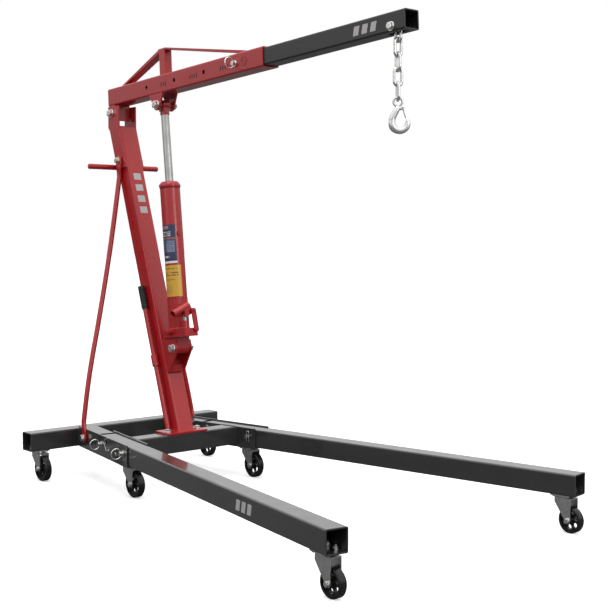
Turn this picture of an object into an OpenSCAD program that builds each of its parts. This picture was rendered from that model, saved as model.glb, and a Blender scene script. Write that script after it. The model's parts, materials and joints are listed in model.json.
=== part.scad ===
// Folding engine hoist: a wheeled base frame with two fold-up legs, a leaning mast,
// a boom lifted by a hydraulic ram, and a pull-out jib that carries a chain and a hook.
// +X runs from the crossbar towards the hook, +Z is up, and the floor is z = 0.
// Lengths are millimetres. The near side is -Y, where the pump handle is stored.

/* [Base frame] */
// Side of the square frame tube
frame_tube = 64; // [50:1:90]
// Wall of every square tube
tube_wall = 4; // [2.5:0.5:6]
// Length of the rear crossbar
crossbar_len = 796; // [700:1:900]
// Height of the crossbar's underside above the floor
crossbar_z = 106; // [90:1:130]
// Angle that each leg splays outwards
leg_splay = 10.1; // [0:0.1:15]
// Distance from the middle to a leg's centreline, at the crossbar
leg_offset = 170; // [120:1:240]
// Distance along a leg from the crossbar's axis to the leg's front end
leg_reach = 1704; // [1400:1:1900]
// Distance along a leg from the crossbar's axis to the channel's front end
channel_reach = 494; // [400:1:600]
// Wall of the channel that holds a leg
channel_wall = 4; // [3:0.5:6]
// Distance along a leg from the crossbar's axis to the fold pivot
pivot_reach = 264; // [220:1:320]
// Distance along a leg from the crossbar's axis to the lock pin
lock_reach = 461; // [420:1:480]
// Diameter of the fold pins and the lock pins
leg_pin_d = 14; // [10:1:20]
// Front face of the cross member that carries the mast
cross_member_x = 402; // [350:1:450]

/* [Casters] */
// Diameter of the four rear wheels
rear_wheel_d = 88; // [75:1:110]
// Diameter of the two front wheels
front_wheel_d = 76; // [60:1:90]
// Horizontal distance from the swivel axis to the axle
caster_trail = 29; // [20:1:40]
// Diameter of a wheel's axle bolt
axle_d = 8; // [6:1:12]

/* [Mast] */
// Angle that the mast leans back
mast_lean = 18.7; // [10:0.1:25]
// Width of the mast across the machine
mast_w = 64; // [50:1:80]
// Depth of the mast square to its length
mast_d = 66; // [50:1:80]
// Height of the mast's cut top end
mast_top_z = 1244; // [1100:1:1400]
// Forward end of the mast's front face at the foot plate
mast_foot_x = 394; // [350:1:430]
// Thickness of the mast's foot plate
foot_plate_t = 6; // [4:0.5:10]
// Height of the boom pivot
boom_pivot_z = 1295; // [1200:1:1400]
// Forward position of the boom pivot
boom_pivot_x = -17; // [-40:1:20]
// Diameter of the boom pivot bolt and of the ram's lower bolt
main_bolt_d = 16; // [12:1:20]

/* [Boom and jib] */
// Slope of the boom at rest
boom_slope = 2.9; // [0:0.1:10]
// Width of the boom tube
boom_w = 63; // [50:1:80]
// Height of the boom tube
boom_h = 62; // [50:1:80]
// Length of the boom tube
boom_len = 903; // [800:1:1000]
// Width of the pull-out jib
jib_w = 55; // [45:1:60]
// Height of the pull-out jib
jib_h = 54; // [45:1:60]
// Length of jib that stands out of the boom at rest
jib_out = 600; // [500:1:650]
// Distance between two neighbouring jib positions
jib_step = 170; // [120:1:200]
// Forward position of the ram's upper bolt
ram_top_x = 272; // [240:1:300]
// Height of the ram's upper bolt
ram_top_z = 1302; // [1250:1:1350]

/* [Ram] */
// Forward position of the ram's lower bolt
ram_foot_x = 362; // [340:1:390]
// Height of the ram's lower bolt
ram_foot_z = 467; // [440:1:500]
// Diameter of the ram's barrel
barrel_d = 69; // [55:1:80]
// Diameter of the chromed rod
rod_d = 28; // [22:1:35]
// Length from the lower bolt to the top of the barrel's gland
barrel_top = 572; // [500:1:620]

/* [Hidden] */
$fn = 48;
gap = 0.5;
bore_gap = 0.1;
seat_gap = 0.05;

red = [0.66, 0.13, 0.14];
dark_grey = [0.26, 0.26, 0.27];
zinc = [0.78, 0.78, 0.77];
steel = [0.62, 0.62, 0.61];
black = [0.06, 0.06, 0.06];
rubber = [0.09, 0.09, 0.10];

leg_z = crossbar_z + channel_wall;
leg_top = leg_z + frame_tube;
plate_top = leg_top + 4;
leg_pin_z = leg_z + 38;
channel_gap = frame_tube + 2 * gap;
channel_w = channel_gap + 2 * channel_wall;
cross_z = plate_top - frame_tube - 1;
foot_z = cross_z + frame_tube;
mast_foot_z = foot_z + foot_plate_t;

leg_caster_reach = leg_reach - 52;
front_end_x = leg_caster_reach * cos(leg_splay) + caster_trail + front_wheel_d / 2;
boom_drop = 28.5;
boom_wall = 3.5;
boom_tail_len = 26;
boom_tail = boom_pivot_x - boom_tail_len * cos(boom_slope) - (boom_drop + boom_h) * sin(boom_slope);
centre_x = (front_end_x + boom_tail) / 2;

function leg_point(reach, side) =
    [reach * cos(leg_splay), side * (leg_offset + reach * sin(leg_splay))];

ram_angle = atan((ram_foot_x - ram_top_x) / (ram_top_z - ram_foot_z));
ram_len = norm([ram_foot_x - ram_top_x, ram_top_z - ram_foot_z]);
mast_run = mast_d / cos(mast_lean);
side_plate_t = 5;
cheek_t = 6;
bracket_gap = 52;
stay_bolt_d = 12;
stay_foot_z = leg_z + 36;

// Forward position of the mast's front face at a height.
function mast_front(z) = mast_foot_x - (z - mast_foot_z) * tan(mast_lean);

// Places everything about the middle of the footprint.
module placed() {
    translate([-centre_x, 0, 0]) children();
}

// A leg's own frame: x runs along the leg and +y points outwards.
module leg_frame(side) {
    mirror([0, side < 0 ? 1 : 0, 0])
        translate([0, leg_offset, 0]) rotate([0, 0, leg_splay]) children();
}

// A frame at the ram's lower bolt with z along the ram.
module ram_frame() {
    translate([ram_foot_x, 0, ram_foot_z]) rotate([0, -ram_angle, 0]) children();
}

// The boom's own frame: x runs along the boom, z = 0 is its underside, y = 0 its middle.
module boom_frame() {
    translate([boom_pivot_x, 0, boom_pivot_z]) rotate([0, -boom_slope, 0])
        translate([0, 0, boom_drop]) children();
}

// A frame at the mast's foot with z along the mast and x = 0 on its front face.
module mast_frame() {
    translate([mast_foot_x, 0, mast_foot_z]) rotate([0, -mast_lean, 0]) children();
}

// A square or rectangular tube along x, centred on y, standing on z = 0.
module tube_x(length, width, height, wall) {
    corner = 5;
    translate([0, 0, height / 2]) rotate([90, 0, 90]) linear_extrude(length) difference() {
        rounded_rect(width, height, corner);
        rounded_rect(width - 2 * wall, height - 2 * wall, corner - wall + 1);
    }
}

module rounded_rect(width, height, radius) {
    union() {
        square([width, height - 2 * radius], center = true);
        square([width - 2 * radius, height], center = true);
        for (sx = [-1, 1], sy = [-1, 1])
            translate([sx * (width / 2 - radius), sy * (height / 2 - radius)]) circle(radius);
    }
}

// A cylinder along y, centred unless told otherwise.
module rod_y(d, length, centred = true) {
    rotate([-90, 0, 0]) cylinder(d = d, h = length, center = centred);
}

// A hexagon head or nut along y, from y = 0 outwards.
module hex_y(across_flats, height) {
    rotate([-90, 0, 0]) cylinder(d = across_flats / cos(30), h = height, $fn = 6);
}

// A hexagon head or nut along z, from z = 0 upwards.
module hex_z(across_flats, height) {
    cylinder(d = across_flats / cos(30), h = height, $fn = 6);
}

// A bolt along y with its head at the -y end, a washer under the head and one under the nut.
// grip is the length clamped between the two washers.
module bolt_y(d, grip, across_flats, washer_d) {
    washer = 2;
    head = d * 0.65;
    nut = d * 0.8;
    tail = 3;
    rod_y(d, grip + 2 * washer);
    for (s = [-1, 1]) translate([0, s * (grip + washer) / 2, 0]) rod_y(washer_d, washer);
    translate([0, -grip / 2 - washer, 0]) rotate([180, 0, 0]) hex_y(across_flats, head);
    translate([0, grip / 2 + washer, 0]) hex_y(across_flats, nut);
    translate([0, grip / 2, 0]) rod_y(d, nut + washer + tail, false);
}

// --- Base frame -----------------------------------------------------------------

bolt_span = 36;
caster_bolt_d = 8;
crossbar_caster_y = 352;
channel_caster_reach = 433;
spare_reach = 311;

module four_bolts() {
    for (sx = [-1, 1], sy = [-1, 1])
        translate([sx * bolt_span / 2, sy * bolt_span / 2, 0]) children();
}

module rear_crossbar() placed() color(dark_grey) difference() {
    translate([0, crossbar_len / 2, crossbar_z]) rotate([0, 0, -90])
        tube_x(crossbar_len, frame_tube, frame_tube, tube_wall);
    for (side = [-1, 1]) translate([0, side * crossbar_caster_y, crossbar_z - 1])
        four_bolts() cylinder(d = caster_bolt_d + bore_gap, h = tube_wall + 2);
}

// One side channel: a short stub of tube, two side plates and a floor plate under the leg.
module channel_shape() {
    outer = channel_w / 2;
    inner_start = 197;
    floor_start = 152;
    stub_end = 214;
    translate([0, 0, leg_z]) tube_x(stub_end, frame_tube, frame_tube, tube_wall);
    translate([0, frame_tube / 2, crossbar_z])
        cube([channel_reach, outer - frame_tube / 2, plate_top - crossbar_z]);
    translate([inner_start, -outer, crossbar_z])
        cube([channel_reach - inner_start, outer - frame_tube / 2, plate_top - crossbar_z]);
    translate([floor_start, -frame_tube / 2 - gap, crossbar_z])
        cube([channel_reach - floor_start, channel_gap, channel_wall]);
}

module channel(side) placed() color(dark_grey) difference() {
    leg_frame(side) difference() {
        channel_shape();
        // The leg's space between the plates is a little wider than the stub.
        translate([215, -channel_gap / 2, leg_z])
            cube([channel_reach, channel_gap, frame_tube + 20]);
        translate([pivot_reach, 0, leg_pin_z]) rod_y(leg_pin_d + bore_gap, channel_w + 20);
        translate([lock_reach, 0, leg_pin_z]) rod_y(leg_pin_d + bore_gap, channel_w + 20);
        translate([spare_reach, 0, leg_pin_z + 12]) rod_y(leg_pin_d + bore_gap, channel_w, false);
        translate([channel_caster_reach, 0, crossbar_z - 1])
            four_bolts() cylinder(d = caster_bolt_d + bore_gap, h = channel_wall + 2);
    }
    // The rear crossbar's front face is where the channel's end is cut.
    translate([frame_tube / 2 - 200, -600, 0]) cube([200, 1200, 300]);
    leg_frame(side) translate([stay_reach, channel_w / 2, stay_foot_z])
        rod_y(stay_bolt_d + bore_gap, 40);
}

module cross_member() placed() color(dark_grey) difference() {
    translate([cross_member_x - frame_tube / 2, 300, cross_z]) rotate([0, 0, -90])
        tube_x(600, frame_tube, frame_tube, tube_wall);
    for (side = [-1, 1]) leg_frame(side)
        translate([0, -channel_w / 2, 0]) cube([800, 400, 300]);
    for (sy = [-1, 1])
        translate([foot_bolt_x, sy * foot_bolt_y, foot_z - 2 * tube_wall])
            cylinder(d = foot_bolt_d + bore_gap, h = 20);
}

// --- Legs -----------------------------------------------------------------------

// A leg is a tube whose rear end is rounded about the fold pin so that it can swing up.
module leg(side) placed() color(dark_grey) leg_frame(side) difference() {
    translate([pivot_reach - 38, 0, leg_z]) intersection() {
        tube_x(leg_reach - pivot_reach + 38, frame_tube, frame_tube, tube_wall);
        union() {
            translate([38, 0, leg_pin_z - leg_z]) rod_y(75.4, frame_tube + 2);
            translate([38, -frame_tube, -1]) cube([leg_reach, 2 * frame_tube, frame_tube + 2]);
        }
    }
    translate([pivot_reach, 0, leg_pin_z]) rod_y(leg_pin_d + bore_gap, frame_tube + 2);
    translate([lock_reach, 0, leg_pin_z]) rod_y(leg_pin_d + bore_gap, frame_tube + 2);
    translate([leg_caster_reach, 0, leg_z - 1])
        four_bolts() cylinder(d = caster_bolt_d + bore_gap, h = tube_wall + 2);
}

// --- Fold pins and lock pins -----------------------------------------------------

pin_out = 13;
pin_in = 13;
ring_r = 17;
ring_wire = 3.6;
clip_wire = 2;

// The fold pin runs right through the channel and the leg.
module fold_pins() placed() color(zinc) for (side = [-1, 1]) leg_frame(side)
    translate([pivot_reach, -channel_w / 2 - pin_in, leg_pin_z]) pin_body(channel_w + pin_in);

// The lock pin shows at both plates. Its length inside the leg is left out, which
// leaves the leg free to fold as it does once the pin is pulled.
module lock_pins() placed() color(zinc) for (side = [-1, 1]) leg_frame(side)
    translate([lock_reach, 0, leg_pin_z]) {
        translate([0, -channel_w / 2 - pin_in, 0]) rod_clip_end(channel_wall + pin_in);
        translate([0, channel_w / 2 - channel_wall, 0]) pin_head(channel_wall);
    }

module pin_body(length) {
    rod_clip_end(length);
    translate([0, length - 1, 0]) pin_head(1);
}

// The inner end of a pin, with a cross hole for its spring clip.
module rod_clip_end(length) difference() {
    rod_y(leg_pin_d, length, false);
    translate([0, 5, 0]) cylinder(d = clip_wire + bore_gap, h = 2 * leg_pin_d, center = true);
}

// The outer end of a pin: a collar against the plate and an eye that holds the pull ring.
module pin_head(length) difference() {
    union() {
        rod_y(leg_pin_d, length + pin_out, false);
        translate([0, length, 0]) rod_y(leg_pin_d + 6, 3, false);
    }
    translate([0, length + 6.8, 0]) cylinder(d = 7.2, h = 2 * leg_pin_d, center = true);
}

module ring(radius, wire) {
    rotate_extrude() translate([radius, 0]) circle(d = wire, $fn = 24);
}

module pin_rings() placed() color(zinc) for (side = [-1, 1], reach = [pivot_reach, lock_reach])
    leg_frame(side) translate([reach, channel_w / 2 + 6 + ring_r, leg_pin_z])
        rotate([0, 90, 0]) ring(ring_r, ring_wire);

// A spring clip: a straight wire through the pin and a bow that passes its outside.
module clip() {
    translate([0, 0, -18]) cylinder(d = clip_wire, h = 33);
    translate([5.5, 0, 15]) rotate([90, 0, 0])
        rotate_extrude(angle = 180) translate([5.5, 0]) circle(d = clip_wire, $fn = 24);
    translate([11, 0, -18]) cylinder(d = clip_wire, h = 33);
}
module spring_clips() placed() color(zinc) for (side = [-1, 1], reach = [pivot_reach, lock_reach])
    leg_frame(side) translate([reach, -channel_w / 2 - pin_in + 5, leg_pin_z]) clip();

// --- Casters --------------------------------------------------------------------

plate_t = 3;
plate_side = 58;
race_h = 5.5;
fork_t = 3;
fork_gap = 31;
hub_w = 29;
tread_w = 23;
kingpin_d = 12;

// Everything above a caster's swivel race: the plate and the kingpin rivet.
// height is the distance from the floor to the top of the plate.
module caster_plate(height) translate([0, 0, height]) {
    head_t = 2;
    difference() {
        translate([0, 0, -plate_t]) linear_extrude(plate_t)
            rounded_rect(plate_side, plate_side, 6);
        translate([0, 0, -plate_t - 1]) four_bolts()
            cylinder(d = caster_bolt_d + bore_gap, h = plate_t + 2);
    }
    translate([0, 0, -plate_t - race_h]) cylinder(d = 36, h = race_h + 0.01);
    translate([0, 0, -plate_t - race_h - fork_t - 0.6]) cylinder(d = kingpin_d, h = fork_t + 1);
    translate([0, 0, -plate_t - race_h - fork_t - 0.6 - head_t])
        cylinder(d = kingpin_d + 6, h = head_t);
}

// The four bolts of a caster, with nuts inside the tube above.
module caster_bolts(height, wall) translate([0, 0, height]) four_bolts() {
    head_h = 4;
    nut_h = 6.5;
    tail = 5;
    translate([0, 0, -plate_t - head_h]) hex_z(12.5, head_h);
    translate([0, 0, -plate_t]) cylinder(d = caster_bolt_d, h = plate_t + wall + nut_h + tail);
    translate([0, 0, wall]) cylinder(d = 15.6, h = 1.6);
    translate([0, 0, wall + 1.6]) hex_z(13, nut_h);
}

// Four bolts that end flush with the floor they pass through, with thin nuts underneath.
module flush_bolts(height, wall) translate([0, 0, height]) four_bolts() {
    nut_h = 4.4;
    translate([0, 0, -plate_t - nut_h]) hex_z(13, nut_h);
    translate([0, 0, -plate_t - nut_h - 0.3])
        cylinder(d = caster_bolt_d, h = plate_t + nut_h + wall + 0.1);
}

// A pressed fork that trails forward of its swivel axis.
module fork(height, wheel_d) {
    top = height - plate_t - race_h - 0.3;
    axle_z = wheel_d / 2;
    back = -17;
    front = caster_trail + 9;
    cheek_w = fork_gap / 2 + fork_t;
    difference() {
        union() {
            translate([back, -cheek_w, top - fork_t]) cube([front - back, 2 * cheek_w, fork_t]);
            for (s = [-1, 1]) translate([0, s * (fork_gap / 2 + fork_t / 2), 0])
                rotate([90, 0, 0]) linear_extrude(fork_t, center = true) {
                    polygon([[back, top], [front, top], [front, axle_z],
                        [caster_trail - 8.4, axle_z - 3], [back, top - 14]]);
                    translate([caster_trail, axle_z]) circle(9);
                }
        }
        translate([0, 0, top - fork_t - 1]) cylinder(d = kingpin_d + bore_gap, h = fork_t + 2);
        translate([caster_trail, 0, axle_z]) rod_y(axle_d + bore_gap, 4 * cheek_w);
    }
}

// A moulded wheel: a tread, a thin web with six round holes, and a hub.
module wheel(wheel_d) translate([caster_trail, 0, wheel_d / 2]) rotate([90, 0, 0]) difference() {
    outer = wheel_d / 2;
    rim_in = outer - 8;
    hub_r = 11;
    edge = 3;
    rotate_extrude() polygon([[0, -hub_w / 2], [hub_r, -hub_w / 2], [hub_r, -4],
        [rim_in, -4], [rim_in, -tread_w / 2], [outer - edge, -tread_w / 2],
        [outer, -tread_w / 2 + edge], [outer, tread_w / 2 - edge],
        [outer - edge, tread_w / 2], [rim_in, tread_w / 2], [rim_in, 4],
        [hub_r, 4], [hub_r, hub_w / 2], [0, hub_w / 2]]);
    cylinder(d = axle_d + bore_gap, h = 2 * hub_w, center = true);
    for (i = [0:5]) rotate([0, 0, 60 * i + 20])
        translate([(hub_r + rim_in) / 2, 0, 0])
            cylinder(d = (rim_in - hub_r) * 0.78, h = 30, center = true);
}

module axle(wheel_d) translate([caster_trail, 0, wheel_d / 2])
    bolt_y(axle_d, fork_gap + 2 * fork_t + bore_gap, 13, 15);

// Puts a caster under the crossbar, under a channel or under a leg's front end.
module rear_place(side) placed()
    translate([0, side * crossbar_caster_y, 0]) children();
module middle_place(side) placed()
    translate(concat(leg_point(channel_caster_reach, side), 0)) children();
module front_place(side) placed()
    translate(concat(leg_point(leg_caster_reach, side), 0)) children();

module base_caster_plates() color(zinc) for (side = [-1, 1]) {
    rear_place(side) caster_plate(crossbar_z);
    middle_place(side) rotate([0, 0, side * leg_splay]) caster_plate(crossbar_z);
}
module base_caster_bolts() color(zinc) for (side = [-1, 1]) {
    rear_place(side) caster_bolts(crossbar_z, tube_wall);
    middle_place(side) rotate([0, 0, side * leg_splay]) flush_bolts(crossbar_z, channel_wall);
}
module leg_caster_mount(side) color(zinc)
    front_place(side) rotate([0, 0, side * leg_splay]) {
        caster_plate(leg_z);
        caster_bolts(leg_z, tube_wall);
    }

module rear_fork(side) color(zinc) rear_place(side) fork(crossbar_z, rear_wheel_d);
module middle_fork(side) color(zinc) middle_place(side) fork(crossbar_z, rear_wheel_d);
module front_fork(side) color(zinc) front_place(side) fork(leg_z, front_wheel_d);
module rear_wheel(side) color(black) rear_place(side) wheel(rear_wheel_d);
module middle_wheel(side) color(black) middle_place(side) wheel(rear_wheel_d);
module front_wheel(side) color(black) front_place(side) wheel(front_wheel_d);
module rear_axle(side) color(zinc) rear_place(side) axle(rear_wheel_d);
module middle_axle(side) color(zinc) middle_place(side) axle(rear_wheel_d);
module front_axle(side) color(zinc) front_place(side) axle(front_wheel_d);

// --- Mast -----------------------------------------------------------------------

foot_bolt_d = 12;
foot_bolt_y = 60;
foot_bolt_x = cross_member_x - frame_tube / 2;
handle_d = 18;
handle_x = -41.5;
handle_y = -mast_w / 2 - 12.5;

// The mast tube is cut level at both ends and welded to its foot plate.
module mast() placed() color(red) difference() {
    union() {
        intersection() {
            mast_frame() translate([-mast_d / 2, 0, -80]) mast_tube(1400);
            translate([-400, -200, mast_foot_z - 0.01])
                cube([1200, 400, mast_top_z - mast_foot_z]);
        }
        translate([mast_foot_x - 72, -79, foot_z]) cube([85, 158, foot_plate_t]);
        mast_cap();
        mast_frame() translate([handle_x, handle_y, 243]) {
            cylinder(d = 25, h = 40);
            translate([-3, 8, 0]) cube([6, 5, 40]);
        }
    }
    mast_frame() translate([handle_x, handle_y, 200]) cylinder(d = handle_d + 0.12, h = 100);
    for (sy = [-1, 1]) translate([foot_bolt_x, sy * foot_bolt_y, foot_z - 1])
        cylinder(d = foot_bolt_d + bore_gap, h = foot_plate_t + 2);
}

module mast_tube(length) linear_extrude(length) difference() {
    rounded_rect(mast_d, mast_w, 5);
    rounded_rect(mast_d - 2 * tube_wall, mast_w - 2 * tube_wall, 2);
}

// A plate closes the mast's top end.
module mast_cap() {
    translate([mast_front(mast_top_z) - mast_run + 1, -mast_w / 2 + 1, mast_top_z - 0.01])
        cube([mast_run - 2, mast_w - 2, 3]);
}

// Two plates hug the mast's sides, widen above it and hold the boom pivot bolt.
module mast_head() placed() color(red) difference() {
    top = boom_pivot_z + 24;
    narrow_z = mast_top_z - 13;
    wide_z = narrow_z + 12;
    back = boom_pivot_x - 21;
    front = boom_pivot_x + 50;
    tail_z = 1096;
    inset = 3;
    for (s = [-1, 1]) translate([0, s * (mast_w / 2 + side_plate_t / 2), 0])
        rotate([90, 0, 0]) linear_extrude(side_plate_t, center = true)
            polygon([[back, top], [back, wide_z],
                [mast_front(narrow_z) - mast_run + inset, narrow_z],
                [mast_front(tail_z) - mast_run + inset, tail_z],
                [mast_front(tail_z) - inset, tail_z],
                [mast_front(narrow_z) - inset, narrow_z],
                [front, wide_z], [front, top]]);
    translate([boom_pivot_x, 0, boom_pivot_z]) rod_y(main_bolt_d + bore_gap, 200);
    translate([stay_top_x, 0, stay_top_z]) rod_y(stay_bolt_d + bore_gap, 200);
}

// The bracket on the mast's front: two cheeks that hold the ram's lower bolt.
module ram_bracket() placed() color(red) difference() {
    top = ram_foot_z + 29;
    bottom = ram_foot_z - 84;
    nose = ram_foot_x + 22;
    foot_w = 13;
    toe_h = 24;
    union() {
        for (s = [-1, 1]) translate([0, s * (bracket_gap / 2 + cheek_t / 2), 0])
            rotate([90, 0, 0]) linear_extrude(cheek_t, center = true)
                polygon([[mast_front(top) + seat_gap, top], [nose - 8, top],
                    [nose, ram_foot_z + 4], [nose, ram_foot_z - 8],
                    [mast_front(bottom) + foot_w, bottom], [mast_front(bottom) + seat_gap, bottom]]);
        // A floor plate and a toe plate tie the two cheeks together.
        translate([mast_front(bottom) + seat_gap, -bracket_gap / 2 - 1, bottom])
            cube([foot_w - seat_gap, bracket_gap + 2, cheek_t]);
        translate([mast_front(bottom) + foot_w - 4, -bracket_gap / 2 - 1, bottom])
            cube([4, bracket_gap + 2, toe_h]);
    }
    translate([ram_foot_x, 0, ram_foot_z]) rod_y(main_bolt_d + bore_gap, 200);
}

// A round bar across the back of the mast for pushing the hoist.
module push_handle() placed() color(red) {
    z = 1099;
    bar_d = 19;
    translate([mast_front(z) - mast_run - bar_d / 2 / cos(mast_lean), 0, z]) rod_y(bar_d, 284);
}

module foot_bolts() placed() color(zinc) for (sy = [-1, 1])
    translate([foot_bolt_x, sy * foot_bolt_y, mast_foot_z]) {
        translate([0, 0, -foot_plate_t - 3 * tube_wall])
            cylinder(d = foot_bolt_d, h = foot_plate_t + 3 * tube_wall);
        cylinder(d = 24, h = 2.5);
        translate([0, 0, 2.5]) hex_z(19, 8);
    }

// --- Stays ----------------------------------------------------------------------

stay_reach = 109;
stay_d = 18;
stay_flat_t = 8;
stay_top_x = 38;
stay_top_z = 1122;
stay_top_y = mast_w / 2 + side_plate_t + 0.2;
stay_foot_out = channel_w / 2 + 0.2 + stay_flat_t / 2;

// A stay is a round bar whose flattened ends are bolted to the mast and to the channel.
module stay(side) mirror([0, side < 0 ? 1 : 0, 0]) {
    top = [stay_top_x, stay_top_y + stay_flat_t / 2, stay_top_z];
    foot = concat(leg_point(stay_reach, 1), stay_foot_z)
        + stay_foot_out * [-sin(leg_splay), cos(leg_splay), 0];
    tab = 46;
    lean_x = atan((foot[0] - top[0]) / (top[2] - foot[2]));
    along = [sin(lean_x), 0, -cos(lean_x)];
    up = [-sin(lean_x) * cos(leg_splay), -sin(lean_x) * sin(leg_splay), cos(lean_x)];
    bar_top = top + along * tab;
    bar_foot = foot + up * tab;
    run = bar_foot - bar_top;
    difference() {
        union() {
            translate(top) rotate([0, -lean_x, 0]) flat_end(tab);
            translate(foot) rotate([0, 0, leg_splay]) rotate([0, 180 - lean_x, 0]) flat_end(tab);
            translate(bar_top) rotate([0, 180 - atan(run[0] / -run[2]), 0])
                rotate([-atan(run[1] / norm([run[0], run[2]])), 0, 0]) translate([0, 0, -1])
                    cylinder(d = stay_d, h = norm(run) + 8);
        }
        translate(top) rod_y(stay_bolt_d + bore_gap, 40);
        translate(foot) rotate([0, 0, leg_splay]) rod_y(stay_bolt_d + bore_gap, 40);
    }
}

// A flattened end that hangs from its bolt hole, with a rounded tip.
module flat_end(length) {
    tip_d = 34;
    rod_y(tip_d, stay_flat_t);
    translate([-tip_d / 2 + 2, -stay_flat_t / 2, -length]) cube([tip_d - 4, stay_flat_t, length]);
}

module stays() placed() color(red) for (side = [-1, 1]) stay(side);

module stay_bolts() placed() color(zinc) for (side = [-1, 1]) {
    mirror([0, side < 0 ? 1 : 0, 0])
        translate([stay_top_x, stay_top_y - side_plate_t - 0.1, stay_top_z])
            bolt_out(side_plate_t + stay_flat_t + 0.2);
    leg_frame(side) translate([stay_reach, channel_w / 2 - 10, stay_foot_z])
        bolt_out(10 + stay_flat_t + 0.3);
}

// A short bolt that points outwards from y = 0, with its head at the far end.
module bolt_out(grip) {
    rod_y(stay_bolt_d, grip + 1, false);
    translate([0, grip, 0]) rod_y(24, 2, false);
    translate([0, grip + 2, 0]) hex_y(19, 8);
}

// --- Main bolts -----------------------------------------------------------------

// The boom pivot bolt and the ram's lower bolt are the same kind of bolt.
main_af = 24;
main_washer = 30;

module main_bolts() placed() color(zinc) {
    translate([boom_pivot_x, 0, boom_pivot_z])
        bolt_y(main_bolt_d, mast_w + 2 * side_plate_t + bore_gap, main_af, main_washer);
    translate([ram_foot_x, 0, ram_foot_z])
        bolt_y(main_bolt_d, bracket_gap + 2 * cheek_t + bore_gap, main_af, main_washer);
}

// --- Pump handle ----------------------------------------------------------------

stored_foot = 20;
stored_top = 530;
grip_len = 82;

module stored_frame() placed() mast_frame() translate([handle_x, handle_y, 0]) children();

module pump_handle() color(red) stored_frame()
    translate([0, 0, stored_foot]) cylinder(d = handle_d, h = stored_top - stored_foot);

module pump_grip() color(rubber) stored_frame()
    translate([0, 0, stored_top + 2 - grip_len]) difference() {
        union() {
            cylinder(d = 23, h = grip_len);
            for (i = [0:6]) translate([0, 0, 6 + 10.5 * i]) cylinder(d = 24, h = 6);
        }
        translate([0, 0, -1]) cylinder(d = handle_d, h = grip_len - 1);
    }

// --- Boom -----------------------------------------------------------------------

mouth_x = boom_len - boom_tail_len;
pin_x = mouth_x - 138;
jib_tip = mouth_x + jib_out;
tip_bolt_x = jib_tip - 51;
tip_bolt_z = 18.5;
tip_bolt_d = 12;
eye_bolt_dx = ram_top_x - boom_pivot_x;
eye_bolt_dz = ram_top_z - boom_pivot_z;
eye_bolt_x = eye_bolt_dx * cos(boom_slope) + eye_bolt_dz * sin(boom_slope);
eye_bolt_z = eye_bolt_dz * cos(boom_slope) - eye_bolt_dx * sin(boom_slope) - boom_drop;
eye_w = 27;
clevis_gap = 51;
clevis_t = 6;

// The boom is one weldment: the tube with its four jib positions, the lug that takes the
// pivot bolt, and the two clevis plates that take the ram's upper bolt.
module boom() placed() color(red) boom_frame() difference() {
    union() {
        translate([-boom_tail_len, 0, 0]) tube_x(boom_len, boom_w, boom_h, boom_wall);
        boom_lug();
        for (s = [-1, 1]) translate([0, s * (clevis_gap + clevis_t) / 2, 0])
            rotate([90, 0, 0]) linear_extrude(clevis_t, center = true) {
                polygon([[eye_bolt_x - 45, 1], [eye_bolt_x + 38, 1],
                    [eye_bolt_x + 17, eye_bolt_z - 10], [eye_bolt_x - 17, eye_bolt_z - 10]]);
                translate([eye_bolt_x, eye_bolt_z]) circle(20);
            }
    }
    for (i = [0:3]) translate([pin_x - i * jib_step, 0, boom_h / 2])
        rod_y(leg_pin_d + bore_gap, 2 * boom_w);
    translate([0, 0, -boom_drop]) rod_y(main_bolt_d + bore_gap, 2 * boom_w);
    translate([eye_bolt_x, 0, eye_bolt_z]) rod_y(main_bolt_d + bore_gap, 2 * boom_w);
}

// Two ears and a front plate between the mast's head plates, open below and behind.
module boom_lug() {
    ear_t = 5;
    below = boom_drop + 18;
    for (s = [-1, 1]) translate([-22, s * 28.5 - ear_t / 2, -below])
        cube([40, ear_t, below + 0.5]);
    translate([14, -28, -below - 10]) cube([4, 56, below + 10.5]);
}

// The truss on the boom: a post, a rear strap from its top and a front strap.
post_x = 306;
post_w = 34;
post_top = 150;
strap_t = 5;
strap_w = 30;

module truss() placed() color(red) boom_frame() {
    rear_x = 45;
    front_x = 780;
    translate([post_x, 0, boom_h]) linear_extrude(post_top - boom_h) difference() {
        rounded_rect(post_w, 32, 4);
        rounded_rect(post_w - 6, 26, 1);
    }
    left = post_x - post_w / 2;
    right = post_x + post_w / 2;
    rotate([90, 0, 0]) linear_extrude(strap_w, center = true) {
        polygon([[rear_x - 12, boom_h], [rear_x + 8, boom_h], [left + 2, post_top - 8],
            [left + 2, post_top + 2], [left - 4, post_top + 2]]);
        polygon([[left - 4, post_top - 1], [right + 1, post_top - 1], [front_x - 20, boom_h],
            [front_x + 24, boom_h], [right + 4, post_top + strap_t],
            [left - 4, post_top + strap_t]]);
    }
}

// The ends of the ram's upper bolt stay with the clevis plates.
module clevis_bolt() placed() color(zinc) boom_frame()
    translate([eye_bolt_x, 0, eye_bolt_z]) difference() {
        bolt_y(main_bolt_d, clevis_gap + 2 * clevis_t + bore_gap, main_af, main_washer);
        cube([60, clevis_gap, 60], center = true);
    }

// The jib's pin shows at both walls of the boom. Its length inside the jib is left out,
// which leaves the jib free to slide as it does once the pin is pulled.
module jib_pin() placed() color(zinc) boom_frame() translate([pin_x, 0, boom_h / 2]) {
    translate([0, -boom_w / 2 + boom_wall, 0]) rotate([0, 0, 180]) pin_head(boom_wall);
    translate([0, boom_w / 2 + pin_in, 0]) rotate([0, 0, 180]) rod_clip_end(boom_wall + pin_in);
    translate([0, -boom_w / 2 - 6 - ring_r, 0]) rotate([0, 90, 0]) ring(ring_r, ring_wire);
    translate([0, boom_w / 2 + pin_in - 5, 0]) clip();
}

// --- Jib, chain and hook ----------------------------------------------------------

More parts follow.
